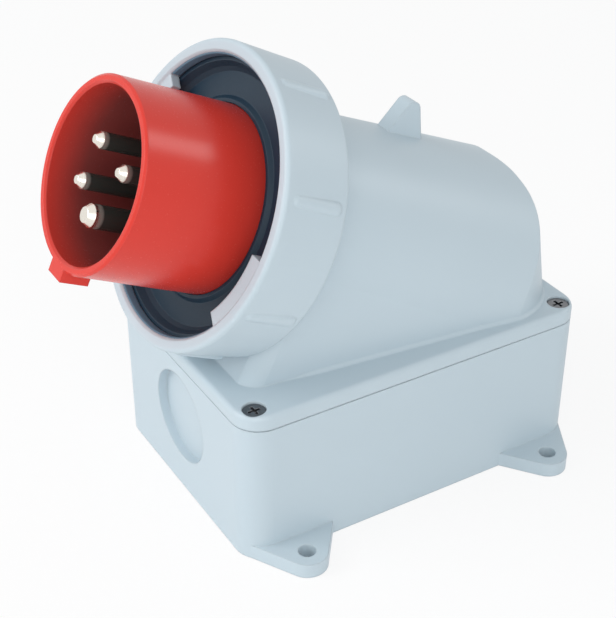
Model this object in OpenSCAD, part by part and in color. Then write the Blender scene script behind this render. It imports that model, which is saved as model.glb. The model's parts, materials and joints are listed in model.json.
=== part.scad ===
// Surface mounted plug, 16 A, three poles and earth, with a bayonet locking ring.
// The origin is the middle of the four fixing holes, on the wall side of the base. +Z points off the wall,
// and the plug looks towards -Y, tilted up.

/* [Base box] */
// Width of the box, across the feet
base_w = 88; // [86:1:100]
// Length of the box
base_l = 123; // [118:1:134]
// Height of the box, from the wall to the parting face
base_h = 48; // [46:1:60]
// Radius of the upright corners
corner_r = 9; // [8:0.5:11]
// Thickness of the side walls
wall = 3.2; // [2.8:0.1:4]
// Thickness of the floor
floor_t = 3.5; // [2.5:0.1:5]
// Rounding of the outer edges
edge_r = 1.6; // [0.8:0.1:2]

/* [Feet] */
// Thickness of the feet
foot_t = 5; // [3:0.5:8]
// Radius of a foot round its hole
foot_r = 6.5; // [5:0.5:8]
// Diameter of the fixing holes
foot_hole_d = 5.5; // [4:0.1:6.5]
// Distance of the holes from the side walls
foot_out = 7.5; // [6:0.5:12]
// Spacing of the holes along the box
foot_pitch = 92; // [84:1:96]
// Length of the foot along the wall, on the inner side of its hole
foot_flare = 15; // [10:1:20]

/* [Cable entry] */
// Diameter of the knock-out in the front wall
entry_d = 31; // [20:1:32]
// Distance of its middle below the parting face
entry_drop = 20; // [19:0.5:22]
// Depth of its recess
entry_depth = 3; // [2:0.5:4]
// Thickness of the wall that is left to knock out
entry_skin = 1.6; // [1:0.1:2.5]
// Width of the thickened wall round the knock-out
entry_rim = 2.5; // [2:0.5:3]

/* [Hood] */
// Thickness of the hood's flange above the parting face
flange_t = 5; // [4.5:0.5:8]
// Wall of the hood
hood_wall = 3; // [2.4:0.1:3.6]
// Radius of the arch where it leaves the ring
hood_r = 32; // [30:0.5:34]
// Ledge of the flange beside the hood, at the rear
ledge_side = 2.2; // [1.5:0.1:6]
// Ledge of the flange behind the hood
ledge_back = 1.2; // [1:0.1:4]
// Lean of the hood's back from upright
rear_draft = 9; // [6:0.5:11]
// Radius of the hood's rear corners
hood_corner_r = 23; // [22:0.5:28]
// Radius of the hood's front corners, below the ring
hood_front_r = 7; // [4:0.5:9]
// Rounding of the edge between the hood's back and top
hood_edge_r = 6; // [4:0.5:9]
// How much steeper the arch runs than the plug
arch_extra = 3.4; // [2:0.1:4]
// How far the upright walls stand inside the widest line of the arch
arch_step = 0.3; // [0.2:0.1:0.6]

/* [Lid catch] */
// Width of the catch across the hood
catch_w = 6; // [5:0.5:10]
// Length of the catch along the top of the hood
catch_l = 13.5; // [12:0.5:18]
// Height of the catch's nose above the hood
catch_h = 11.5; // [8:0.5:14]
// Radius of the nose
catch_nose_r = 2.6; // [2:0.1:3]
// Distance of the nose in front of the catch's heel
catch_nose_back = 3.5; // [3:0.5:5]
// Distance of the catch from the hood's back
catch_back = 36; // [30:1:40]

/* [Hood gasket] */
// Thickness of the pressed gasket
gasket_t = 1.4; // [1:0.1:2]
// Lip of the flange that hides the gasket
gasket_lip = 1.2; // [0.9:0.1:1.4]
// Visible seam between base and hood
seam = 0.3; // [0.2:0.1:0.6]

/* [Cover screws] */
// Thread diameter of the cover screws
screw_d = 4; // [3:0.5:4]
// Length of the screws under the head
screw_len = 14; // [12:1:20]
// Diameter of the screw heads
screw_head_d = 6.6; // [6:0.1:7]
// Height of the screw heads
screw_head_h = 2.2; // [1.6:0.1:2.6]
// Depth of the recesses for the heads
screw_recess = 3.6; // [3.2:0.1:4]
// Distance of the screws from both sides of the box
screw_inset = 5.8; // [5.6:0.1:6.4]
// Thickness of the sealing washers
washer_t = 0.8; // [0.5:0.1:1]
// Diameter of the bosses under the screws
boss_d = 10.4; // [9.6:0.1:11]
// Drop of the bosses' meeting face below the rim of the box
boss_drop = 1; // [0.5:0.1:2]
// Outer diameter of the threaded inserts
nut_d = 6.4; // [6:0.1:6.8]
// Length of the threaded inserts
nut_l = 8; // [6:0.5:9]

/* [Shroud] */
// Tilt of the plug above the horizontal
plug_tilt = 25.5; // [23:0.5:28]
// Distance of the ring's rim centre behind the front of the box
rim_setback = 7; // [4:0.5:9]
// Outer diameter of the shroud
shroud_d = 56; // [54:0.5:57]
// Wall of the shroud
shroud_wall = 2.7; // [2:0.1:3]
// Reach of the shroud in front of the ring's rim
shroud_reach = 32.5; // [28:0.5:36]
// Depth of the shroud, from its mouth to its floor
shroud_depth = 42; // [38:0.5:42]
// Thickness of the flange that carries the seal
insert_flange_t = 7; // [6:0.1:8]
// Width of the key on the shroud
key_w = 8; // [6:0.5:10]
// Height of the key
key_h = 3; // [2:0.5:4]
// Length of the key
key_l = 9; // [6:0.5:14]
// Depth that the rear of the insert sits in the neck
spigot_l = 4; // [3:0.5:5]
// Radial wall of the spigot outside the contact plate
spigot_wall = 7.1; // [7:0.1:7.5]

/* [Neck] */
// Radial wall of the neck that the ring turns on
neck_wall = 6.6; // [6:0.1:7]
// Thickness of the neck behind the insert
neck_floor = 6; // [5:0.5:8]
// Width of the bearing face behind the ring's back
bearing_w = 4; // [3.8:0.1:5]
// Length of the bearing collar
bearing_l = 5; // [4:0.5:7]
// Thickness of the gasket between neck and insert
insert_gasket_t = 1; // [0.6:0.1:1.5]

/* [Pins] */
// Diameter of the circle that the pins stand on
pin_circle_d = 22; // [21:0.5:23]
// Diameter of the phase pins
pin_d = 5; // [4.5:0.1:5.5]
// Diameter of the earth pin
earth_d = 7; // [6:0.1:7.5]
// Length of the pins' tapered tips
tip_l = 1.8; // [1:0.1:3]
// Step from the pins' shank to the end of the tip
tip_step = 1.3; // [0.6:0.1:1.8]
// Distance of the phase pins' tips behind the mouth
pin_recess = 2; // [1.5:0.5:8]
// Distance of the earth pin's tip behind the mouth
earth_recess = 1; // [0.5:0.5:6]
// Turn of the pins from the key, seen from the front, anticlockwise
pin_turn = 13; // [0:1:60]
// Wide angle from the first phase pin to its two neighbours
wide_gap_deg = 105; // [100:1:110]
// Step from the pins' free shank to their seat in the floor
seat_step = 0.4; // [0.2:0.1:0.6]
// Height of the pins' collars
collar_t = 3; // [2:0.5:4]
// Step from the terminals to the collars
collar_step = 1; // [0.8:0.1:1.2]
// Diameter of the wire terminals
terminal_d = 9; // [8.6:0.1:9.4]
// Length of the wire terminals behind the plate
terminal_l = 16; // [14:0.5:18]
// Diameter of the terminals' wire holes
wire_hole_d = 4.6; // [3:0.1:5]
// Depth of the terminals' wire holes
wire_hole_l = 13; // [11:0.5:13]

/* [Terminal screws] */
// Diameter of the terminal screws
clamp_d = 3.5; // [3:0.1:4]
// Length of the terminal screws
clamp_l = 4.5; // [4:0.1:5]
// Height of the terminal screws above the terminal
clamp_proud = 1.6; // [1:0.1:1.8]
// Distance of the first terminal screw behind the plate
clamp_first = 5; // [4:0.5:6]
// Spacing of the terminal screws
clamp_pitch = 6; // [5:0.5:7]

/* [Contact plate] */
// Thickness of the plate behind the pins
plate_t = 4; // [3:0.5:5]
// Edge of the plate outside the pins' collars
plate_edge = 0.7; // [0.5:0.1:1]
// Diameter of the plate's screw
plate_screw_d = 3.5; // [3:0.1:3.6]
// Length of the plate's screw in the insert
plate_screw_grip = 5; // [4:0.5:6]
// Head diameter of the plate's screw
plate_head_d = 6.4; // [5.5:0.1:6.6]
// Diameter of the screws that hold the insert
insert_screw_d = 3; // [2.6:0.1:3]
// Head diameter of the insert's screws
insert_head_d = 5.2; // [4.8:0.1:5.2]
// Height of these small screw heads
small_head_h = 2; // [1.6:0.1:2.4]

/* [Seal] */
// Thickness of the seal's face
seal_t = 4.5; // [3.5:0.1:5]
// Wall of the seal along the ring
seal_wall = 2.6; // [1.6:0.1:3]
// Height of the seal's lips
seal_lip = 1.2; // [0.8:0.1:1.5]

/* [Locking ring] */
// Outer diameter of the ring at its rim
ring_d = 91; // [89:0.5:93]
// Length of the ring
ring_len = 22.5; // [20:0.5:24]
// Wall of the ring at its rim
ring_wall = 4.1; // [3.6:0.1:4.5]
// Rounding of the ring's outer edges
ring_soft = 1.4; // [0.8:0.1:1.6]
// How much smaller the ring is at its back
ring_draft = 0.8; // [0.3:0.1:1.2]
// Thickness of the ring's back
web_t = 3.5; // [3:0.1:4]
// Space between the ring and the ledge
ring_space = 1.3; // [1.2:0.1:4]
// Inward height of the two bayonet lugs
lug_h = 4.4; // [3:0.1:5]
// Thickness of the lugs
lug_t = 3.6; // [3:0.1:4]
// Angle that a lug covers
lug_arc = 36; // [24:1:44]
// Place of the first lug, clockwise from the top
lug_at = 110; // [95:1:125]
// Number of grip ribs
rib_count = 8; // [4:1:16]
// Radius of a grip rib
rib_r = 2.4; // [1.8:0.1:3]
// Height of a grip rib above the ring
rib_h = 0.9; // [0.5:0.1:1.1]
// Distance of the ribs' ends from the ring's edges
rib_end = 4.5; // [4:0.5:6]
// Turn from open to locked
ring_turn = 40; // [25:1:50]
// Diameter of the stop peg behind the ring
stop_d = 2.6; // [2:0.1:2.8]
// Height of the stop peg
stop_h = 1.6; // [1.2:0.1:1.8]

/* [Fits] */
// Running clearance of the ring
run_clear = 0.3; // [0.25:0.05:0.4]
// Clearance of pieces that are put into each other
fit_clear = 0.15; // [0.1:0.05:0.2]

/* [Hidden] */
$fn = 96;
overlap = 1;
// How far a rounding's circle crosses the faces that it joins
cross = 0.1;
reach = 2 * base_l;
housing_grey = [0.76, 0.82, 0.85];
signal_red = [0.82, 0.17, 0.13];
rubber_black = [0.10, 0.12, 0.15];
nickel = [0.86, 0.83, 0.78];
brass = [0.78, 0.62, 0.30];
dark_steel = [0.20, 0.20, 0.22];
carrier_black = [0.15, 0.15, 0.16];

// Places on the box
half_w = base_w / 2;
half_l = base_l / 2;
ledge_z = base_h + flange_t;
foot_x = half_w + foot_out;
foot_y = foot_pitch / 2;
screw_x = half_w - screw_inset;
screw_y = half_l - screw_inset;
gasket_z = base_h + gasket_t;
gasket_in = gasket_lip + fit_clear;
seat_z = ledge_z - screw_recess;
boss_top = base_h - boss_drop;
entry_wall = entry_depth + entry_skin;
entry_z = base_h - entry_drop;

// Along the plug axis: the rim's middle is 0, and Z points out of the plug
back_z = -ring_len;
shoulder_z = back_z - run_clear;
web_front = back_z + web_t;
flange_back = web_front + run_clear;
neck_front = flange_back - insert_gasket_t;
flange_front = flange_back + insert_flange_t;
seal_front = flange_front + seal_t;
floor_z = shroud_reach - shroud_depth;
spigot_z = flange_back - spigot_l;
neck_back = spigot_z - neck_floor;
plate_back = spigot_z - plate_t;
terminal_back = plate_back - terminal_l;
seal_top = -lug_t - run_clear;

// Round the plug axis, from the pins outwards
pin_r = pin_circle_d / 2;
collar_r = terminal_d / 2 + collar_step;
plate_r = pin_r + collar_r + plate_edge;
spigot_r = plate_r + spigot_wall;
insert_screw_r = (plate_r + spigot_r) / 2;
pocket_r = spigot_r + fit_clear;
neck_r = pocket_r + neck_wall;
web_r = neck_r + run_clear;
bearing_r = web_r + bearing_w;
stop_r = web_r + bearing_w / 2;
shroud_r = shroud_d / 2;
ring_r = ring_d / 2;
ring_back_r = ring_r - ring_draft;
bore_r = ring_r - ring_wall;
seal_r = bore_r - run_clear;
flange_r = seal_r - run_clear;

// Place of the rim's middle on the box
rim_y = rim_setback - half_l;
rim_z = ledge_z + ring_space + ring_len * sin(plug_tilt) + ring_back_r * cos(plug_tilt);

// Arch of the hood: a cone that starts behind the ring and drops to the rear of the box
rear_y = half_l - ledge_back;
rear_half = half_w - ledge_side;
arch_tilt = plug_tilt + arch_extra;
arch_y = rim_y - shoulder_z * cos(plug_tilt);
arch_z = rim_z + shoulder_z * sin(plug_tilt);
arch_run = (rear_y - arch_y) / cos(arch_tilt);
arch_slope = (rear_half - hood_r) / arch_run;
arch_lead = hood_r / 2;
arch_end = arch_run + hood_corner_r;
top_tilt = arch_tilt - atan(arch_slope);
wall_slope = arch_slope / cos(arch_tilt);
corner_lean = atan(wall_slope * sin(plug_tilt));
corner_flare = atan(wall_slope * cos(plug_tilt) * cos(corner_lean));

// Side view of the hood's rear: where its back and top face, and the middle of the rounding between them
back_out = [cos(rear_draft), sin(rear_draft)];
top_out = [sin(top_tilt), cos(top_tilt)];
edge_back = [rear_y, ledge_z] * back_out - hood_edge_r + cross;
edge_top = [rear_y, top_line(rear_y)] * top_out - hood_edge_r + cross;
edge_mid = [edge_back * top_out.y - edge_top * back_out.y, edge_top * back_out.x - edge_back * top_out.x]
    / cos(rear_draft + top_tilt);

// Pins: the earth pin is turned from the key, and the phase pins stand round from it
earth_at = 180 - pin_turn;
l1_at = earth_at - wide_gap_deg;
l2_at = l1_at - wide_gap_deg;
l3_at = l1_at + 180;
all_at = [earth_at, l1_at, l2_at, l3_at];
insert_screw_at = [l1_at + wide_gap_deg / 2, l1_at - wide_gap_deg / 2];
clamp_z = [plate_back - clamp_first, plate_back - clamp_first - clamp_pitch];

// Puts its children into the plug's own frame
module on_plug_axis() {
    translate([0, rim_y, rim_z]) rotate([90 - plug_tilt, 0, 0]) children();
}

// Puts its children at a radius and a clock angle round the plug axis
module round_axis(radius, angle) {
    rotate([0, 0, -angle]) translate([0, radius, 0]) children();
}

// A cylinder between two heights
module rod(r, from, to) {
    translate([0, 0, from]) cylinder(r = r, h = to - from);
}

// A ring between two radii and two heights
module tube(r_in, r_out, from, to) {
    difference() {
        rod(r_out, from, to);
        rod(r_in, from - overlap, to + overlap);
    }
}

// Four places, one in each quarter of the box
module at_corners(x, y) {
    for (sx = [-1, 1], sy = [-1, 1]) translate([sx * x, sy * y, 0]) children();
}

// Turns a side view (y across, z up) into a bar across the box
module across(w) {
    rotate([90, 0, 90]) translate([0, 0, -w / 2]) linear_extrude(w) children();
}

// The box's outline, moved inwards by an inset, with its corners as true arcs
module box_outline(inset) {
    w = base_w - 2 * inset;
    l = base_l - 2 * inset;
    r = corner_r - inset;
    square([w - 2 * r, l], center = true);
    square([w, l - 2 * r], center = true);
    at_corners(w / 2 - r, l / 2 - r) circle(r);
}

// A slab of the box's outline
module slab(inset, from, to) {
    translate([0, 0, from]) linear_extrude(to - from) box_outline(inset);
}

// Section of a slab with rounded upper edges
module soft_section(half, from, to) {
    polygon([
        [-half, from], [half, from], [half, to - edge_r],
        [half - edge_r, to], [edge_r - half, to], [-half, to - edge_r]
    ]);
    for (side = [-1, 1]) translate([side * (half - edge_r), to - edge_r]) circle(edge_r);
}

// A slab with rounded upper edges: two crossing bars and four turned corners
module soft_slab(from, to) {
    across(base_w - 2 * corner_r) soft_section(half_l, from, to);
    rotate([0, 0, 90]) across(base_l - 2 * corner_r) soft_section(half_w, from, to);
    at_corners(half_w - corner_r, half_l - corner_r) rotate_extrude() intersection() {
        soft_section(corner_r, from, to);
        translate([0, from]) square([corner_r, to - from]);
    }
}

// Point where a line from p, or from the circle round p, touches the circle at c, on the chosen side
function touch(p, c, r, side, p_r = 0) =
    let (d = p - c, far = norm(d), turn = side * acos((r - p_r) / far), u = d / far)
    c + r * [u.x * cos(turn) - u.y * sin(turn), u.x * sin(turn) + u.y * cos(turn)];

// One foot at the front right: a lobe round the hole, with straight flanks to the corner and the wall
module foot_outline() {
    hole = [foot_x, -foot_y];
    corner = [half_w - corner_r, corner_r - half_l];
    root_r = corner_r - fit_clear;
    flank = [half_w - edge_r, foot_flare - foot_y];
    translate(hole) circle(foot_r);
    polygon([
        corner, touch(hole, corner, root_r, -1, foot_r), touch(corner, hole, foot_r, 1, root_r), hole,
        touch(flank, hole, foot_r, -1), flank, [half_w - wall, flank.y]
    ]);
}

module feet() {
    for (mx = [0, 1], my = [0, 1]) mirror([mx, 0, 0]) mirror([0, my, 0])
        linear_extrude(foot_t) foot_outline();
}

// The box with its feet, corner bosses and knock-out cable entry
module base_box() {
    color(housing_grey) difference() {
        union() {
            difference() {
                slab(0, 0, base_h);
                slab(wall, floor_t, base_h + overlap);
            }
            feet();
            intersection() {
                slab(edge_r, 0, base_h);
                at_corners(screw_x, screw_y) rod(boss_d / 2, 0, boss_top);
            }
            translate([0, entry_wall - half_l, entry_z]) rotate([90, 0, 0])
                cylinder(r = entry_d / 2 + entry_rim, h = entry_wall - wall / 2);
        }
        at_corners(foot_x, foot_y) rod(foot_hole_d / 2, -overlap, foot_t + overlap);
        at_corners(screw_x, screw_y) {
            rod(nut_d / 2 + fit_clear, boss_top - nut_l - fit_clear, boss_top + overlap);
            rod(screw_d / 2 + fit_clear, seat_z - screw_len - overlap, boss_top);
        }
        translate([0, entry_depth - half_l, entry_z]) rotate([90, 0, 0])
            cylinder(d = entry_d, h = entry_depth + overlap);
    }
}

// Half the width of the arch at its widest line, and the height of its top line
function arch_half(y) = hood_r + (y - arch_y) * wall_slope;
function top_line(y) =
    arch_z + hood_r * cos(arch_tilt) - (y - arch_y - hood_r * sin(arch_tilt)) * tan(top_tilt);

// The arch as a cone along its own tilted axis
module arch(inset) {
    shrink = inset * sqrt(1 + arch_slope * arch_slope);
    translate([0, arch_y, arch_z]) rotate([-90 - arch_tilt, 0, 0]) translate([0, 0, -arch_lead])
        cylinder(r1 = hood_r - shrink - arch_lead * arch_slope, r2 = hood_r - shrink + arch_end * arch_slope,
                 h = arch_lead + arch_end);
}

// The upright walls under the arch, from its axis down
module hood_walls(inset, low) {
    front = -reach / 2;
    back = rear_y + hood_corner_r;
    half_front = arch_half(front) - inset - arch_step;
    half_back = arch_half(back) - inset - arch_step;
    intersection() {
        translate([0, 0, low]) linear_extrude(rim_z)
            polygon([[-half_front, front], [half_front, front], [half_back, back], [-half_back, back]]);
        across(reach) polygon([
            [front, low], [back, low], [back, arch_z - (back - arch_y) * tan(arch_tilt)],
            [arch_y - arch_lead, arch_z + arch_lead * tan(arch_tilt)], [front, arch_z]
        ]);
    }
}

// Plan of the hood's rear, with its round corners
module rear_plan(inset) {
    r = hood_corner_r - inset;
    back = rear_y - inset;
    cy = back - r;
    cx = arch_half(cy) + arch_step - inset - r;
    polygon([[-cx - r, -reach], [cx + r, -reach], [cx + r, cy], [cx, back], [-cx, back], [-cx - r, cy]]);
    for (side = [-1, 1]) translate([side * cx, cy]) circle(r);
}

// What is cut off to round the edge between the hood's back and top
module rear_rounding(inset) {
    far = 2 * hood_edge_r;
    across(reach) translate(edge_mid) difference() {
        polygon([[0, 0], far * back_out, far * (back_out + top_out), far * top_out]);
        circle(hood_edge_r - inset);
    }
}

// What is cut off to round the two front corners, from behind the bearing collar down
module front_rounding(inset) {
    r = hood_front_r - inset;
    mid = [cross - r * (1 - sin(corner_flare)) / cos(corner_flare), cross - r];
    end = mid + r * [cos(corner_flare), sin(corner_flare)];
    start_x = hood_r - arch_step - inset * (1 - wall_slope * cos(plug_tilt));
    on_plug_axis() for (side = [0, 1]) mirror([side, 0, 0])
        translate([start_x, 0, shoulder_z - inset]) rotate([0, 0, -corner_lean]) rotate([90, 0, 0])
            translate([0, 0, hood_r / 2]) linear_extrude(reach) difference() {
                polygon([mid, [mid.x, overlap], [r, overlap], [r, end.y], end]);
                translate(mid) circle(r);
            }
}

// The whole form of the hood, moved inwards by an inset
module hood_form(inset, low) {
    difference() {
        intersection() {
            union() {
                arch(inset);
                hood_walls(inset, low);
            }
            on_plug_axis() translate([0, 0, shoulder_z - inset - reach / 2]) cube(reach, center = true);
            translate([0, 0, low + reach / 2]) cube(reach, center = true);
            translate([0, rear_y, ledge_z]) rotate([rear_draft, 0, 0])
                translate([0, -rear_y, -reach / 2]) linear_extrude(reach) rear_plan(inset);
        }
        rear_rounding(inset);
        front_rounding(inset);
    }
}

// Catch for a socket's lid: a nose with a sloping front and a steep back
module lid_catch() {
    heel_y = rear_y - catch_back;
    toe_y = heel_y - catch_l;
    nose_y = heel_y - catch_nose_back;
    root = hood_wall / 2;
    heel = [heel_y, top_line(heel_y) - root];
    toe = [toe_y, top_line(toe_y) - root];
    nose = [nose_y, top_line(nose_y) + catch_h - catch_nose_r];
    across(catch_w) {
        translate(nose) circle(catch_nose_r);
        polygon([toe, heel, touch(heel, nose, catch_nose_r, 1), nose, touch(toe, nose, catch_nose_r, -1)]);
    }
}

// Neck that carries the insert and the ring, with the ring's bearing face and stop peg
module neck() {
    on_plug_axis() {
        rod(bearing_r, shoulder_z - bearing_l, shoulder_z);
        rod(neck_r, shoulder_z - bearing_l, neck_front);
        round_axis(stop_r, 0) rod(stop_d / 2, shoulder_z - overlap, shoulder_z + stop_h);
    }
}

// Space inside the hood, round its screw bosses and the back of the neck
module hood_space() {
    difference() {
        hood_form(hood_wall, base_h - overlap);
        at_corners(screw_x, screw_y) rod(boss_d / 2, boss_top - overlap, ledge_z + overlap);
        on_plug_axis() rod(neck_r, neck_back, neck_front);
    }
}

// The hood with its flange, arch, neck and catch
module hood() {
    color(housing_grey) difference() {
        union() {
            hood_form(0, gasket_z + overlap);
            soft_slab(gasket_z, ledge_z);
            difference() {
                slab(0, base_h + seam, gasket_z + overlap);
                slab(gasket_lip, base_h, gasket_z + 2 * overlap);
            }
            intersection() {
                slab(wall + fit_clear, boss_top - overlap, ledge_z);
                at_corners(screw_x, screw_y) rod(boss_d / 2, boss_top, gasket_z + overlap);
            }
            lid_catch();
            neck();
        }
        hood_space();
        at_corners(screw_x, screw_y) {
            rod(screw_head_d / 2 + 2 * fit_clear, seat_z, ledge_z + overlap);
            rod(screw_d / 2 + fit_clear, boss_top - overlap, ledge_z);
        }
        on_plug_axis() {
            rod(pocket_r, spigot_z - fit_clear, neck_front + overlap);
            rod(plate_r + run_clear, neck_back - overlap, neck_front);
            for (at = insert_screw_at) round_axis(insert_screw_r, at)
                rod(insert_screw_d / 2 + fit_clear, neck_back - overlap, neck_front);
        }
    }
}

// Gasket on the rim of the box, inside the lip of the flange, cut out round the screws
module hood_gasket() {
    color(rubber_black) difference() {
        slab(gasket_in, base_h, gasket_z);
        slab(wall, base_h - overlap, gasket_z + overlap);
        at_corners(screw_x, screw_y) rod(screw_d / 2 + fit_clear, base_h - overlap, gasket_z + overlap);
    }
}

// A screw with a round head and a cross slot, its head on z = 0
module screw(d, length, head_d, head_h) {
    slot_l = 0.6 * head_d;
    slot_w = head_d / 7;
    difference() {
        union() {
            rod(head_d / 2, 0, head_h);
            rod(d / 2, -length, head_h / 2);
        }
        for (turn = [0, 90]) rotate([0, 0, turn]) translate([0, 0, head_h])
            cube([slot_l, slot_w, head_h], center = true);
    }
}

module cover_screws() {
    color(dark_steel) at_corners(screw_x, screw_y) translate([0, 0, seat_z + washer_t])
        screw(screw_d, screw_len, screw_head_d, screw_head_h);
}

module screw_washers() {
    color(rubber_black) at_corners(screw_x, screw_y)
        tube(screw_d / 2 + fit_clear, screw_head_d / 2, seat_z, seat_z + washer_t);
}

module threaded_inserts() {
    color(brass) at_corners(screw_x, screw_y)
        tube(screw_d / 2 + fit_clear, nut_d / 2, boss_top - nut_l, boss_top - fit_clear);
}

// Section of the ring: a cup with a hole in its back
module ring_section() {
    inner_soft = ring_soft / 2;
    polygon([
        [web_r, back_z], [ring_back_r - ring_soft, back_z], [ring_back_r, back_z + ring_soft], [ring_r, -ring_soft],
        [ring_r - ring_soft, 0], [bore_r + inner_soft, 0], [bore_r, -inner_soft], [bore_r, web_front],
        [web_r, web_front]
    ]);
    translate([ring_r - ring_soft, -ring_soft]) circle(ring_soft);
    translate([ring_back_r - ring_soft, back_z + ring_soft]) circle(ring_soft);
}

// Grip rib with round ends
module grip_rib() {
    low = back_z + rib_end;
    high = -rib_end;
    rod(rib_r, low, high);
    for (z = [low, high]) translate([0, 0, z]) sphere(rib_r);
}

// The bayonet ring with its lugs, its grip ribs and the groove for the stop peg
module locking_ring() {
    rib_at = ring_r - ring_draft / 2 + rib_h - rib_r;
    play = stop_d / 2 + run_clear;
    end_play = asin(play / stop_r);
    color(housing_grey) on_plug_axis() difference() {
        union() {
            rotate_extrude() ring_section();
            for (half = [0, 180]) rotate([0, 0, 90 - lug_at - lug_arc / 2 + half])
                rotate_extrude(angle = lug_arc) translate([bore_r - lug_h, -lug_t])
                    square([lug_h + ring_soft, lug_t - ring_soft / 2]);
            for (i = [0 : rib_count - 1]) round_axis(rib_at, (i + 0.5) * 360 / rib_count) grip_rib();
        }
        rotate([0, 0, 90 - end_play]) rotate_extrude(angle = ring_turn + 2 * end_play)
            translate([stop_r - play, back_z - overlap]) square([2 * play, stop_h + overlap]);
    }
}

// The seal that a socket presses on, with a wall along the inside of the ring
module ring_seal() {
    color(rubber_black) on_plug_axis() rotate_extrude() polygon([
        [shroud_r + fit_clear, flange_front], [flange_r, flange_front], [seal_r, flange_front + seal_lip],
        [seal_r, seal_top], [seal_r - seal_wall / 2, seal_top], [seal_r - seal_wall, seal_front + seal_lip],
        [seal_r - seal_wall - seal_lip, seal_front], [shroud_r + 2 * seal_lip, seal_front],
        [shroud_r + seal_lip, seal_front + seal_lip], [shroud_r + fit_clear, seal_front + seal_lip]
    ]);
}

// Room for one pin and its collar
module pin_space(d) {
    rod(d / 2 + seat_step + fit_clear, spigot_z - overlap, floor_z + overlap);
    rod(collar_r + fit_clear, spigot_z - overlap, spigot_z + collar_t + fit_clear);
}

// The red insert: shroud, key, floor with the pin holes, seal flange and rear spigot
module plug_insert() {
    shroud_in = shroud_r - shroud_wall;
    soft = shroud_wall / 4;
    color(signal_red) on_plug_axis() difference() {
        union() {
            rotate_extrude() polygon([
                [0, spigot_z], [spigot_r, spigot_z], [spigot_r, flange_back], [flange_r, flange_back],
                [flange_r, flange_front], [shroud_r, flange_front], [shroud_r, shroud_reach - soft],
                [shroud_r - soft, shroud_reach], [shroud_in + soft, shroud_reach],
                [shroud_in, shroud_reach - soft], [shroud_in, floor_z], [0, floor_z]
            ]);
            translate([-key_w / 2, -shroud_r - key_h, shroud_reach - key_l])
                cube([key_w, key_h + shroud_wall / 2, key_l]);
        }
        for (at = [l1_at, l2_at, l3_at]) round_axis(pin_r, at) pin_space(pin_d);
        round_axis(pin_r, earth_at) pin_space(earth_d);
        for (at = insert_screw_at) round_axis(insert_screw_r, at) {
            rod(insert_screw_d / 2 + fit_clear, spigot_z - overlap, floor_z);
            rod(insert_head_d / 2 + fit_clear, floor_z - small_head_h, floor_z + overlap);
        }
        rod(plate_screw_d / 2 + fit_clear, spigot_z - overlap, spigot_z + plate_screw_grip + overlap);
    }
}

// Flat gasket between the neck and the flange of the insert
module insert_gasket() {
    color(rubber_black) on_plug_axis() tube(pocket_r, neck_r, neck_front, flange_back);
}

module insert_screws() {
    color(dark_steel) on_plug_axis() for (at = insert_screw_at) round_axis(insert_screw_r, at)
        translate([0, 0, floor_z - small_head_h])
            screw(insert_screw_d, floor_z - small_head_h - neck_back - overlap, insert_head_d, small_head_h);
}

// The plate that holds the pins' collars in the insert
module contact_plate() {
    color(carrier_black) on_plug_axis() difference() {
        rod(plate_r, plate_back, spigot_z);
        for (at = all_at) round_axis(pin_r, at)
            rod(terminal_d / 2 + fit_clear, plate_back - overlap, spigot_z + overlap);
        rod(plate_screw_d / 2 + fit_clear, plate_back - overlap, spigot_z + overlap);
    }
}

module plate_screw() {
    color(dark_steel) on_plug_axis() translate([0, 0, plate_back]) rotate([180, 0, 0])
        screw(plate_screw_d, plate_t + plate_screw_grip, plate_head_d, small_head_h);
}

// One pin: tapered tip, shank, seat, collar and wire terminal with its clamp holes
module pin(d, recess, at) {
    tip = shroud_reach - recess;
    color(nickel) on_plug_axis() round_axis(pin_r, at) difference() {
        union() {
            rod(d / 2 + seat_step, spigot_z + collar_t / 2, floor_z);
            rod(d / 2, floor_z - overlap, tip - tip_l);
            translate([0, 0, tip - tip_l]) cylinder(r1 = d / 2, r2 = d / 2 - tip_step, h = tip_l);
            rod(collar_r, spigot_z, spigot_z + collar_t);
            rod(terminal_d / 2, terminal_back, spigot_z + collar_t / 2);
        }
        rod(wire_hole_d / 2, terminal_back - overlap, terminal_back + wire_hole_l);
        for (z = clamp_z) translate([0, 0, z]) rotate([-90, 0, 0])
            cylinder(r = clamp_d / 2 + fit_clear, h = terminal_d);
    }
}

module pin_earth() pin(earth_d, earth_recess, earth_at);
module pin_l1() pin(pin_d, pin_recess, l1_at);
module pin_l2() pin(pin_d, pin_recess, l2_at);
module pin_l3() pin(pin_d, pin_recess, l3_at);

// Two clamp screws in each terminal, reached from outside
module terminal_screws() {
    low = terminal_d / 2 + clamp_proud - clamp_l;
    color(dark_steel) on_plug_axis() for (at = all_at, z = clamp_z) round_axis(pin_r, at)
        translate([0, low, z]) rotate([-90, 0, 0]) cylinder(d = clamp_d, h = clamp_l);
}

base_box();
hood();
hood_gasket();
cover_screws();
screw_washers();
threaded_inserts();
locking_ring();
ring_seal();
plug_insert();
insert_gasket();
insert_screws();
contact_plate();
plate_screw();
pin_earth();
pin_l1();
pin_l2();
pin_l3();
terminal_screws();
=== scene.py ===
# Looks for a surface mounted plug: finishes, small details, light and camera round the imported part.
# Metres, in the part's own frame: +Z points off the wall, and the mouth looks towards -Y, tilted up.
import json
import math

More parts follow.
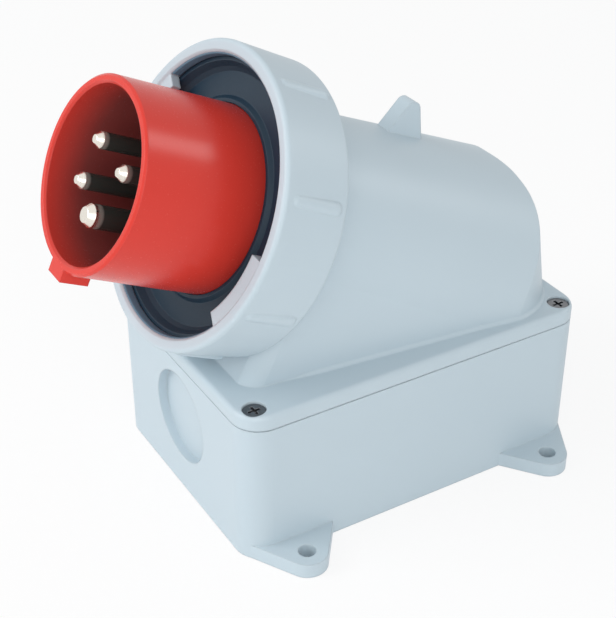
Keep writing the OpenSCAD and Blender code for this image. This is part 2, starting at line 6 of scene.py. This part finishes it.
import bmesh
import bpy
import numpy as np
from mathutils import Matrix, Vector


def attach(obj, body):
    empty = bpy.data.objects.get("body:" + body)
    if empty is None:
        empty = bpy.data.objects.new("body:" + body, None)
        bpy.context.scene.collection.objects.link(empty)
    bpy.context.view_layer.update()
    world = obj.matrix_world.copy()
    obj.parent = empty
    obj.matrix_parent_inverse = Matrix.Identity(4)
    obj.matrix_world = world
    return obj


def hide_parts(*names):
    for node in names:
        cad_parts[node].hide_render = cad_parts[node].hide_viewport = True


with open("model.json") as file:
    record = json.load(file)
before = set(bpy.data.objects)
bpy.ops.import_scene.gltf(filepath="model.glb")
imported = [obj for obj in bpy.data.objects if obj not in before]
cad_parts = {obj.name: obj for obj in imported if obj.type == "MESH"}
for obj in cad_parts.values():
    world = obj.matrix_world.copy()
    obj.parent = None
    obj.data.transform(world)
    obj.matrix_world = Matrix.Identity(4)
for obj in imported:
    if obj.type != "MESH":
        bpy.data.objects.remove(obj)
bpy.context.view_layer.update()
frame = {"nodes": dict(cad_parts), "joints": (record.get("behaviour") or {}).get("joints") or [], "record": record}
nodes = frame["nodes"]
ringJoint = frame["joints"][0]               # the only joint, the turn of the locking ring
rimMiddle = Vector(ringJoint["pos_m"])       # on the plug axis, level with the rim of the ring
outward = -Vector(ringJoint["axis"])         # along the plug axis, out of the mouth
upward = Vector((0, outward.z, -outward.y))  # across the plug axis, towards the top of the mouth
print("frame loaded with", len(nodes), "CAD nodes")


# Node helpers: one call makes a node, sets it up and fills its unlinked inputs
def addNode(tree, kind, inputs=None, **settings):
    node = tree.nodes.new(kind)
    for key, value in settings.items():
        setattr(node, key, value)
    for key, value in (inputs or {}).items():
        node.inputs[key].default_value = value
    return node


def newGroup(name, inputs, outputs):
    group = bpy.data.node_groups.new(name, "ShaderNodeTree")
    for label, value in inputs.items():
        socket = group.interface.new_socket(label, in_out="INPUT", socket_type="NodeSocketFloat")
        socket.default_value = value
    for label, kind in outputs.items():
        group.interface.new_socket(label, in_out="OUTPUT", socket_type=kind)
    return group, group.nodes.new("NodeGroupInput"), group.nodes.new("NodeGroupOutput")


def placeGroup(tree, group, values):
    node = tree.nodes.new("ShaderNodeGroup")
    node.node_tree = group
    for label, value in values.items():
        node.inputs[label].default_value = value
    return node


# Moulded grain: fine noise for the bump, and slow drifts of tone such as a moulding shows
def makeMouldedGrain():
    group, given, result = newGroup(
        "mouldedGrain", {"Grain per metre": 1500.0, "Drift per metre": 18.0},
        {"Height": "NodeSocketFloat", "Drift": "NodeSocketFloat"})
    place = addNode(group, "ShaderNodeTexCoord")
    fine = addNode(group, "ShaderNodeTexNoise", {"Detail": 2.0, "Roughness": 0.6})
    slow = addNode(group, "ShaderNodeTexNoise", {"Detail": 3.0, "Roughness": 0.5})
    for noise, label in ((fine, "Grain per metre"), (slow, "Drift per metre")):
        group.links.new(place.outputs["Object"], noise.inputs["Vector"])
        group.links.new(given.outputs[label], noise.inputs["Scale"])
    group.links.new(fine.outputs["Fac"], result.inputs["Height"])
    group.links.new(slow.outputs["Fac"], result.inputs["Drift"])
    return group


# Soft edge: the normal of a small rounding along sharp edges, and a mask of where that rounding is. The mask
# goes from 0 to 1 as the match of the rounded normal with the flat one falls.
edgeLook = {"samples": 6, "flatMatch": 0.995, "roundMatch": 0.8}


def makeSoftEdge(look):
    group, given, result = newGroup(
        "softEdge", {"Radius": 0.0006}, {"Normal": "NodeSocketVector", "Edge": "NodeSocketFloat"})
    rounded = addNode(group, "ShaderNodeBevel", samples=look["samples"])
    surface = addNode(group, "ShaderNodeNewGeometry")
    match = addNode(group, "ShaderNodeVectorMath", operation="DOT_PRODUCT")
    levels = {"From Min": look["flatMatch"], "From Max": look["roundMatch"]}
    mask = addNode(group, "ShaderNodeMapRange", levels)
    group.links.new(given.outputs["Radius"], rounded.inputs["Radius"])
    group.links.new(rounded.outputs["Normal"], match.inputs[0])
    group.links.new(surface.outputs["Normal"], match.inputs[1])
    group.links.new(match.outputs["Value"], mask.inputs["Value"])
    group.links.new(rounded.outputs["Normal"], result.inputs["Normal"])
    group.links.new(mask.outputs["Result"], result.inputs["Edge"])
    return group


# Along the plug: Above goes from 0 to 1 between two distances from the ring's rim, out of the mouth, and
# Inside goes the other way, only nearer to the plug axis than Reach
# Both masks place painted shade in the finishes: darker red inside the mouth, near black deep in it.
def makeAlongPlug():
    group, given, result = newGroup(
        "alongPlug", {"From": 0.0, "To": 0.01, "Reach": 1.0},
        {"Above": "NodeSocketFloat", "Inside": "NodeSocketFloat"})
    place = addNode(group, "ShaderNodeTexCoord")
    local = addNode(group, "ShaderNodeVectorMath", {1: rimMiddle}, operation="SUBTRACT")
    along = addNode(group, "ShaderNodeVectorMath", {1: outward}, operation="DOT_PRODUCT")
    across = addNode(group, "ShaderNodeVectorMath", {1: outward}, operation="CROSS_PRODUCT")
    reach = addNode(group, "ShaderNodeVectorMath", operation="LENGTH")
    above = addNode(group, "ShaderNodeMapRange")
    below = addNode(group, "ShaderNodeMath", {0: 1.0}, operation="SUBTRACT")
    near = addNode(group, "ShaderNodeMath", operation="LESS_THAN")
    inside = addNode(group, "ShaderNodeMath", operation="MULTIPLY")
    group.links.new(place.outputs["Object"], local.inputs[0])
    group.links.new(local.outputs["Vector"], along.inputs[0])
    group.links.new(local.outputs["Vector"], across.inputs[0])
    group.links.new(across.outputs["Vector"], reach.inputs[0])
    group.links.new(along.outputs["Value"], above.inputs["Value"])
    group.links.new(given.outputs["From"], above.inputs["From Min"])
    group.links.new(given.outputs["To"], above.inputs["From Max"])
    group.links.new(above.outputs["Result"], below.inputs[1])
    group.links.new(reach.outputs["Value"], near.inputs[0])
    group.links.new(given.outputs["Reach"], near.inputs[1])
    group.links.new(below.outputs[0], inside.inputs[0])
    group.links.new(near.outputs[0], inside.inputs[1])
    group.links.new(above.outputs["Result"], result.inputs["Above"])
    group.links.new(inside.outputs[0], result.inputs["Inside"])
    return group


mouldedGrain = makeMouldedGrain()
softEdge = makeSoftEdge(edgeLook)
alongPlug = makeAlongPlug()

# A Mix node has sockets for every kind of data, and these are the ones for colours
mixSockets = {"mask": 0, "first": 6, "second": 7, "colour": 2}


# Mixes two colours by a mask, each of them a fixed colour or another node's output
def mixColour(tree, mask, first, second):
    mix = addNode(tree, "ShaderNodeMix", data_type="RGBA")
    tree.links.new(mask, mix.inputs[mixSockets["mask"]])
    for label, colour in (("first", first), ("second", second)):
        socket = mix.inputs[mixSockets[label]]
        if isinstance(colour, tuple):
            socket.default_value = colour
        else:
            tree.links.new(colour, socket)
    return mix.outputs[mixSockets["colour"]]


# A finish: tone drifts between two colours, edges go to a third, and the grain feeds bump and roughness.
# A painted shade, darker red, comes in from the rim of the mouth to its floor. A painted shade near black covers
# everything that lies deeper along the plug than its edge, and is dull where the look says so.
def makeFinish(name, look):
    material = bpy.data.materials.new(name)
    material.use_nodes = True
    tree = material.node_tree
    shader = tree.nodes["Principled BSDF"]
    for label, value in look["shader"].items():
        shader.inputs[label].default_value = value
    grain = placeGroup(tree, mouldedGrain, look["grain"])
    edge = placeGroup(tree, softEdge, {"Radius": look["edgeRadius"]})
    smoothest, roughest = look["roughness"]
    rough = addNode(tree, "ShaderNodeMapRange", {"To Min": smoothest, "To Max": roughest})
    bump = addNode(tree, "ShaderNodeBump", {"Strength": look["bump"], "Distance": look["bumpDepth"]})
    colour = mixColour(tree, grain.outputs["Drift"], look["toneA"], look["toneB"])
    colour = mixColour(tree, edge.outputs["Edge"], colour, look["edgeTone"])
    # painted shade: darker red inside the mouth, deeper from its rim
    if "mouthShadeTone" in look:
        mouthShade = placeGroup(tree, alongPlug, look["mouthShadeEdge"])
        colour = mixColour(tree, mouthShade.outputs["Inside"], colour, look["mouthShadeTone"])
    # painted shade: near black, and dull where asked, deeper along the plug than the edge
    if "deepShadeTone" in look:
        deepShade = placeGroup(tree, alongPlug, look["deepShadeEdge"])
        colour = mixColour(tree, deepShade.outputs["Above"], look["deepShadeTone"], colour)
        if look["deepShadeDull"]:
            tree.links.new(deepShade.outputs["Above"], shader.inputs["Metallic"])
    tree.links.new(colour, shader.inputs["Base Color"])
    tree.links.new(grain.outputs["Height"], rough.inputs["Value"])
    tree.links.new(rough.outputs["Result"], shader.inputs["Roughness"])
    tree.links.new(grain.outputs["Height"], bump.inputs["Height"])
    tree.links.new(edge.outputs["Normal"], bump.inputs["Normal"])
    tree.links.new(bump.outputs["Normal"], shader.inputs["Normal"])
    return material


housingLook = {
    "toneA": (0.505, 0.600, 0.655, 1), "toneB": (0.535, 0.630, 0.685, 1),
    "edgeTone": (0.575, 0.665, 0.715, 1),
    "roughness": (0.36, 0.46), "bump": 0.25, "bumpDepth": 0.00004, "edgeRadius": 0.0007,
    "grain": {"Grain per metre": 1400.0, "Drift per metre": 16.0},
    "shader": {"Specular IOR Level": 0.4},
}
signalLook = {
    "toneA": (0.66, 0.042, 0.029, 1), "toneB": (0.71, 0.052, 0.036, 1), "edgeTone": (0.78, 0.085, 0.07, 1),
    # painted shade: the inside of the mouth goes darker red from the rim to the floor
    "mouthShadeTone": (0.30, 0.062, 0.056, 1), "mouthShadeEdge": {"From": 0.020, "To": 0.0335, "Reach": 0.0262},
    # painted shade: the floor of the mouth, behind the pins, is near black
    "deepShadeTone": (0.018, 0.017, 0.017, 1), "deepShadeEdge": {"From": -0.0094, "To": -0.0092}, "deepShadeDull": False,
    "roughness": (0.22, 0.30), "bump": 0.15, "bumpDepth": 0.00003, "edgeRadius": 0.0005,
    "grain": {"Grain per metre": 1500.0, "Drift per metre": 22.0},
    "shader": {"Specular IOR Level": 0.26},
}
rubberLook = {
    "toneA": (0.010, 0.029, 0.051, 1), "toneB": (0.013, 0.037, 0.064, 1),
    "edgeTone": (0.035, 0.068, 0.102, 1),
    "roughness": (0.36, 0.48), "bump": 0.25, "bumpDepth": 0.00005, "edgeRadius": 0.0004,
    "grain": {"Grain per metre": 900.0, "Drift per metre": 30.0},
    "shader": {"Specular IOR Level": 0.3},
}
# painted shade: a slate tone for the sheet inside the ring, darker than the ring's own grey, where the ring's
# inner wall lies in shade
ringShadeLook = rubberLook | {
    "toneA": (0.11, 0.22, 0.31, 1), "toneB": (0.14, 0.26, 0.35, 1), "edgeTone": (0.18, 0.29, 0.37, 1)}
carrierLook = {
    "toneA": (0.020, 0.020, 0.022, 1), "toneB": (0.028, 0.028, 0.030, 1),
    "edgeTone": (0.05, 0.05, 0.055, 1),
    "roughness": (0.4, 0.55), "bump": 0.2, "bumpDepth": 0.00004, "edgeRadius": 0.0004,
    "grain": {"Grain per metre": 1300.0, "Drift per metre": 25.0},
    "shader": {"Specular IOR Level": 0.4},
}
contactLook = {
    "toneA": (0.78, 0.73, 0.65, 1), "toneB": (0.84, 0.80, 0.73, 1), "edgeTone": (0.90, 0.87, 0.81, 1),
    # painted shade: the pins go near black and dull deeper in the mouth than their tips
    "deepShadeTone": (0.035, 0.038, 0.034, 1), "deepShadeEdge": {"From": 0.0270, "To": 0.0292}, "deepShadeDull": True,
    "roughness": (0.18, 0.28), "bump": 0.15, "bumpDepth": 0.00002, "edgeRadius": 0.0004,
    "grain": {"Grain per metre": 2500.0, "Drift per metre": 60.0},
    "shader": {"Metallic": 1.0},
}
brassLook = {
    "toneA": (0.55, 0.36, 0.12, 1), "toneB": (0.62, 0.42, 0.15, 1), "edgeTone": (0.75, 0.55, 0.25, 1),
    "roughness": (0.25, 0.35), "bump": 0.15, "bumpDepth": 0.00002, "edgeRadius": 0.0003,
    "grain": {"Grain per metre": 2500.0, "Drift per metre": 60.0},
    "shader": {"Metallic": 1.0},
}
steelLook = {
    "toneA": (0.16, 0.165, 0.175, 1), "toneB": (0.21, 0.215, 0.225, 1), "edgeTone": (0.34, 0.345, 0.355, 1),
    "roughness": (0.30, 0.42), "bump": 0.2, "bumpDepth": 0.00002, "edgeRadius": 0.0003,
    "grain": {"Grain per metre": 2200.0, "Drift per metre": 80.0},
    "shader": {"Metallic": 1.0},
}
finishes = {
    "housing": makeFinish("housingPlastic", housingLook), "signal": makeFinish("signalPlastic", signalLook),
    "rubber": makeFinish("sealRubber", rubberLook), "carrier": makeFinish("carrierPlastic", carrierLook),
    "contact": makeFinish("platedContact", contactLook), "brass": makeFinish("turnedBrass", brassLook),
    "steel": makeFinish("darkSteel", steelLook), "ringShade": makeFinish("ringShadeSlate", ringShadeLook),
}
for subpart in frame["record"]["subparts"]:
    mesh = nodes[subpart["node"]].data
    mesh.materials.clear()
    mesh.materials.append(finishes[subpart["material_slot"]])
print("finishes made:", len(finishes))

weldDistance = 1e-7  # points nearer than this become one


# A piece from points and faces, with its slot's finish or another one, riding on a body
def makePiece(name, points, faces, slot, sharpAngle, body="housing", finish=None):
    mesh = bpy.data.meshes.new(name)
    mesh.from_pydata(points.reshape(-1, 3).tolist(), [], faces)
    work = bmesh.new()
    work.from_mesh(mesh)
    bmesh.ops.remove_doubles(work, verts=work.verts, dist=weldDistance)
    bmesh.ops.dissolve_degenerate(work, edges=work.edges, dist=weldDistance)
    bmesh.ops.recalc_face_normals(work, faces=work.faces)
    work.to_mesh(mesh)
    work.free()
    mesh.polygons.foreach_set("use_smooth", np.ones(len(mesh.polygons), bool))
    mesh.set_sharp_from_angle(angle=math.radians(sharpAngle))
    mesh.materials.append(finishes[finish or slot])
    piece = bpy.data.objects.new(name, mesh)
    bpy.context.scene.collection.objects.link(piece)
    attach(piece, body)
    return piece


# Quads between the rows of a grid of point numbers, and round its columns where they close
def gridQuads(numbers, closed=False):
    right = np.roll(numbers, -1, 1) if closed else numbers[:, 1:]
    left = numbers if closed else numbers[:, :-1]
    return np.stack([left[:-1], right[:-1], right[1:], left[1:]], -1).reshape(-1, 4).tolist()


# Faces of a profile carried along a path: quads round each step, and one flat face at either end
def carriedFaces(numbers):
    return gridQuads(numbers, closed=True) + [numbers[0].tolist(), numbers[-1][::-1].tolist()]


# Directions away from the plug axis, by degrees on a clock that has 0 at the top and 90 at the right
def awayFromAxis(degrees):
    clock = np.radians(degrees)[:, None]
    return np.sin(clock) * np.array((1, 0, 0)) + np.cos(clock) * np.array(upward)


# Distance of a node's outer wall from a middle point, along rays at one height: every triangle that crosses
# the height gives a segment, and the farthest segment that a ray meets counts
def wallDistance(node, height, middle, rays):
    leastAcross = 1e-12  # stands for nothing where a ray runs along its segment
    mesh = nodes[node].data
    mesh.calc_loop_triangles()
    places = np.empty(len(mesh.vertices) * 3)
    mesh.vertices.foreach_get("co", places)
    numbers = np.empty(len(mesh.loop_triangles) * 3, int)
    mesh.loop_triangles.foreach_get("vertices", numbers)
    corners = places.reshape(-1, 3)[numbers.reshape(-1, 3)]
    above = corners[:, :, 2] > height
    crossing = above.any(1) & ~above.all(1)
    corners, above = corners[crossing], above[crossing]
    lone = np.where(above.sum(1) == 1, above.argmax(1), above.argmin(1))  # the corner alone on its side
    row = np.arange(len(lone))
    tip = corners[row, lone]
    ends = [corners[row, (lone + step) % 3] for step in (1, 2)]
    climbs = [((height - tip[:, 2]) / (end[:, 2] - tip[:, 2]))[:, None] for end in ends]
    start, stop = [(tip + (end - tip) * climb)[:, :2] for end, climb in zip(ends, climbs)]
    reach, run = start - middle, stop - start
    across = rays[:, :1] * run[:, 1] - rays[:, 1:] * run[:, 0]
    across = np.where(np.abs(across) < leastAcross, leastAcross, across)
    distance = (reach[:, 0] * run[:, 1] - reach[:, 1] * run[:, 0]) / across
    share = (reach[:, 0] * rays[:, 1:] - reach[:, 1] * rays[:, :1]) / across
    return np.where((share >= 0) & (share <= 1), distance, 0).max(1)


# The moulded fillet where the hood's walls run out into the ledge: a hollow quarter circle, carried round
# the foot of the walls from one front corner to the other, with its back inside both walls. Its height is
# the radius times one minus a cosine, and its reach from the wall the radius times one minus a sine. It gets
# smaller at both ends and along the rear, where the ledge is narrow. The wall's lean is read between a share
# of the radius above the ledge and the whole radius.
filletLook = {"ledge": 0.053, "radius": 0.0013, "endShare": 0.2, "rearShare": 0.5, "fadeDegrees": 9.0,
              "middle": (0.0, 0.005), "fromDegrees": -57.0, "toDegrees": 237.0, "steps": 589, "arcSteps": 9,
              "leanShare": 0.1, "sunk": 0.0004, "lap": 0.00002, "sharpAngle": 50}


def makeHoodFillet(look):
    degrees = np.linspace(look["fromDegrees"], look["toDegrees"], look["steps"])
    rays = np.stack([np.cos(np.radians(degrees)), np.sin(np.radians(degrees))], -1)
    low = wallDistance("hood", look["ledge"] + look["leanShare"] * look["radius"], look["middle"], rays)
    high = wallDistance("hood", look["ledge"] + look["radius"], look["middle"], rays)
    lean = (high - low) / ((1 - look["leanShare"]) * look["radius"])
    foot = np.array(look["middle"]) + low[:, None] * rays
    along = np.gradient(foot, axis=0)
    normal = np.stack([along[:, 1], -along[:, 0]], -1) / np.linalg.norm(along, axis=1)[:, None]
    fade = np.clip(np.minimum(degrees - degrees[0], degrees[-1] - degrees) / look["fadeDegrees"], 0, 1)
    ends = look["endShare"] + (1 - look["endShare"]) * fade * fade * (3 - 2 * fade)
    rear = 1 - (1 - look["rearShare"]) * np.clip(normal[:, 1], 0, 1) ** 2
    radius = look["radius"] * ends * rear
    sunk = np.full_like(radius, -look["sunk"])
    turn = np.linspace(0, math.pi / 2, look["arcSteps"])[:, None]
    rise = np.concatenate([radius * (1 - np.cos(turn)), [radius, sunk, sunk]]) - look["lap"]
    out = np.concatenate([radius * (1 - np.sin(turn)), [sunk, sunk, radius]]) - look["lap"]
    plan = foot + (lean * rise)[..., None] * rays + out[..., None] * normal
    points = np.concatenate([plan, (look["ledge"] + rise)[..., None]], -1).transpose(1, 0, 2)
    numbers = np.arange(points.shape[0] * points.shape[1]).reshape(points.shape[:2])
    makePiece("hoodFillet", points, carriedFaces(numbers), "housing", look["sharpAngle"])


# Clamp screws of the terminals: a disc of chords, each as wide as the circle is there, with a slot sunk
# across it, walled down to a flat foot. Each terminal on the clock has two, at two places along the plug.
clampLook = {"clock": (167, 62, -43, 242), "along": (-0.0317, -0.0377), "circle": 0.011, "foot": 0.0016,
             "length": 0.0045, "radius": 0.00175, "slotHalf": 0.0003, "slotDepth": 0.0009,
             "chords": 7, "steps": 7, "turns": (15, 70, 40, 100, 5, 55, 85, 30), "sharpAngle": 30}


def makeClampScrews(look):
    radius, half = look["radius"], look["slotHalf"]
    side = radius * np.sin(np.linspace(math.asin(half / radius), math.pi / 2, look["chords"]))
    chord = np.concatenate([-side[::-1], [-half, half], side])
    depth = np.concatenate([0 * side, [look["slotDepth"]] * 2, 0 * side])
    share = np.linspace(-1, 1, look["steps"])
    width = np.sqrt(np.maximum(radius ** 2 - chord ** 2, 0))[:, None] * share
    across = chord[:, None] + 0 * width
    top = np.stack([width, across, look["length"] - depth[:, None] + 0 * width], -1)
    foot = np.stack([width, across, 0 * width], -1)
    points = np.concatenate([top.reshape(-1, 3), foot.reshape(-1, 3)])
    numbers = np.arange(width.size).reshape(width.shape)
    rim = np.concatenate([numbers[:, -1], numbers[::-1, 0]])
    wall = np.stack([rim, rim + numbers.size])
    faces = np.array(gridQuads(numbers) + gridQuads(numbers + numbers.size) + gridQuads(wall, closed=True))
    radial = awayFromAxis(np.repeat(look["clock"], len(look["along"])))
    along = np.tile(look["along"], len(look["clock"]))[:, None]
    axis = np.array(outward)
    tangent = np.cross(axis, radial)
    spin = np.radians(look["turns"])[:, None]
    slotRun = np.cos(spin) * axis + np.sin(spin) * tangent
    slotAcross = np.cross(radial, slotRun)
    start = np.array(rimMiddle) + along * axis + (look["circle"] + look["foot"]) * radial
    turned = np.stack([slotRun, slotAcross, radial], 1)
    placed = start[:, None] + points @ turned
    firstNumbers = np.arange(len(placed))[:, None, None] * len(points)
    allFaces = (faces + firstNumbers).reshape(-1, faces.shape[1]).tolist()
    piece = makePiece("clampScrews", placed, allFaces, "steel", look["sharpAngle"])
    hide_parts("terminal_screws")


# A sheet of painted shade inside the ring, from lug to lug: a flat band with a soft front lip, turned round the
# plug axis. Its slate tone stands for the shade on the ring's inner wall. The profile gives distances from the
# axis and along it.
ringShadeSheetLook = {"profile": ((0.0415, -0.0036), (0.0409, -0.0036), (0.0409, -0.0014), (0.0410, -0.0011),
                         (0.0412, -0.0009), (0.0415, -0.0008)),
             "clock": ((-51, 91), (129, 271)), "steps": 96, "sharpAngle": 40}


def makeRingShadeSheet(look):
    profile = np.array(look["profile"])
    numbers = np.arange(look["steps"] * len(profile)).reshape(look["steps"], len(profile))
    points, faces = [], []
    for start, stop in look["clock"]:
        radial = awayFromAxis(np.linspace(start, stop, look["steps"]))
        arc = np.array(rimMiddle) + radial[:, None] * profile[:, :1] + np.array(outward) * profile[:, 1:]
        faces += carriedFaces(numbers + len(points) * numbers.size)
        points.append(arc)
    # the sheet of painted shade rides on the ring
    makePiece("ringShadeSheet", np.array(points), faces, "rubber", look["sharpAngle"], "locking_ring", "ringShade")


makeHoodFillet(filletLook)
makeClampScrews(clampLook)
makeRingShadeSheet(ringShadeSheetLook)
# the liner here is the sheet of painted shade inside the ring
print("fillet, clamp screws and liner made")


# Stage: a pale floor that is white to the camera and keeps a faint shadow, and a white world
stageLook = {"floorSize": 8.0, "floorSteps": 8, "floorDrop": 0.0002, "floorTone": (0.92, 0.92, 0.92, 1),
             "white": {"Color": (1, 1, 1, 1), "Strength": 1.0}, "whiteShare": 0.84,
             "worldLight": {"Color": (0.97, 0.985, 1.0, 1), "Strength": 0.645}}


# One where a ray comes from the camera, a reflection or a refraction
def seenDirectly(tree):
    path = addNode(tree, "ShaderNodeLightPath")
    first = addNode(tree, "ShaderNodeMath", operation="MAXIMUM")
    both = addNode(tree, "ShaderNodeMath", operation="MAXIMUM")
    tree.links.new(path.outputs["Is Camera Ray"], first.inputs[0])
    tree.links.new(path.outputs["Is Glossy Ray"], first.inputs[1])
    tree.links.new(first.outputs[0], both.inputs[0])
    tree.links.new(path.outputs["Is Transmission Ray"], both.inputs[1])
    return both.outputs[0]


# Sends two shaders to the surface, the second one by a share
def mixToSurface(tree, share, first, second, outputKind):
    blend = addNode(tree, "ShaderNodeMixShader")
    output = addNode(tree, outputKind)
    tree.links.new(share, blend.inputs[0])
    tree.links.new(first.outputs[0], blend.inputs[1])
    tree.links.new(second.outputs[0], blend.inputs[2])
    tree.links.new(blend.outputs[0], output.inputs["Surface"])


# A flat grid: x and y run evenly from edge to edge, z is just under the feet
def makeFloor(look):
    half = look["floorSize"] / 2
    steps = np.linspace(-half, half, look["floorSteps"] + 1)
    x, y = np.meshgrid(steps, steps, indexing="ij")
    points = np.stack([x, y, np.full_like(x, -look["floorDrop"])], -1).reshape(-1, 3)
    numbers = np.arange(x.size).reshape(x.shape).T  # turned over, so that the quads look up
    mesh = bpy.data.meshes.new("floor")
    mesh.from_pydata(points.tolist(), [], gridQuads(numbers))
    floor = bpy.data.objects.new("floor", mesh)
    bpy.context.scene.collection.objects.link(floor)
    material = bpy.data.materials.new("paleFloor")
    material.use_nodes = True
    tree = material.node_tree
    tree.nodes.clear()
    matt = addNode(tree, "ShaderNodeBsdfDiffuse", {"Color": look["floorTone"]})
    white = addNode(tree, "ShaderNodeEmission", look["white"])
    share = addNode(tree, "ShaderNodeMath", {1: look["whiteShare"]}, operation="MULTIPLY")
    tree.links.new(seenDirectly(tree), share.inputs[0])
    mixToSurface(tree, share.outputs[0], matt, white, "ShaderNodeOutputMaterial")
    mesh.materials.append(material)


def makeWorld(look):
    world = bpy.data.worlds.new("studio")
    bpy.context.scene.world = world
    world.use_nodes = True
    tree = world.node_tree
    tree.nodes.clear()
    light = addNode(tree, "ShaderNodeBackground", look["worldLight"])
    white = addNode(tree, "ShaderNodeBackground", look["white"])
    mixToSurface(tree, seenDirectly(tree), light, white, "ShaderNodeOutputWorld")


# The lamps look at one point inside the hood. The rear one gives only the gloss along the shroud.
lampAim = (0.0, 0.0, 0.06)
lamps = {
    "keyLamp": {"from": (-0.35, -1.0, 0.75), "watts": 6.2, "size": 0.7, "diffuse": True},
    "fillLamp": {"from": (0.98, -0.45, 0.62), "watts": 4.6, "size": 0.9, "diffuse": True},
    "rearLamp": {"from": (0.41, 1.09, 0.79), "watts": 2.6, "size": 0.38, "diffuse": False},
}


def makeLamp(name, look):
    data = bpy.data.lights.new(name, "AREA")
    data.energy = look["watts"]
    data.size = look["size"]
    lamp = bpy.data.objects.new(name, data)
    bpy.context.scene.collection.objects.link(lamp)
    lamp.visible_diffuse = look["diffuse"]
    lamp.location = look["from"]
    aim = Vector(lampAim) - lamp.location
    lamp.rotation_euler = aim.to_track_quat("-Z", "Y").to_euler()


makeFloor(stageLook)
makeWorld(stageLook)
for lampName, lampLook in lamps.items():
    makeLamp(lampName, lampLook)
print("stage and lamps made")

# The camera was fitted to the photograph, whose frame is 616 by 618 pixels
cameraView = {"azimuth": 59.0, "elevation": 32.4, "distance": 0.4539, "target": (-0.0104, -0.00855, 0.0449),
              "focalPixels": 1380.8, "frameHeight": 618, "sensor": 36.0, "clip": (0.01, 20.0)}


def makeCamera(view):
    data = bpy.data.cameras.new("photoView")
    data.sensor_fit = "VERTICAL"
    data.sensor_height = view["sensor"]
    data.lens = view["focalPixels"] / view["frameHeight"] * view["sensor"]
    data.clip_start, data.clip_end = view["clip"]
    camera = bpy.data.objects.new("photoView", data)
    bpy.context.scene.collection.objects.link(camera)
    around, rise = math.radians(view["azimuth"]), math.radians(view["elevation"])
    away = Vector((math.sin(around) * math.cos(rise), -math.cos(around) * math.cos(rise), math.sin(rise)))
    camera.location = Vector(view["target"]) + view["distance"] * away
    camera.rotation_euler = away.to_track_quat("Z", "Y").to_euler()
    bpy.context.scene.camera = camera


makeCamera(cameraView)
bpy.context.scene.view_settings.view_transform = "Standard"
print("camera set")
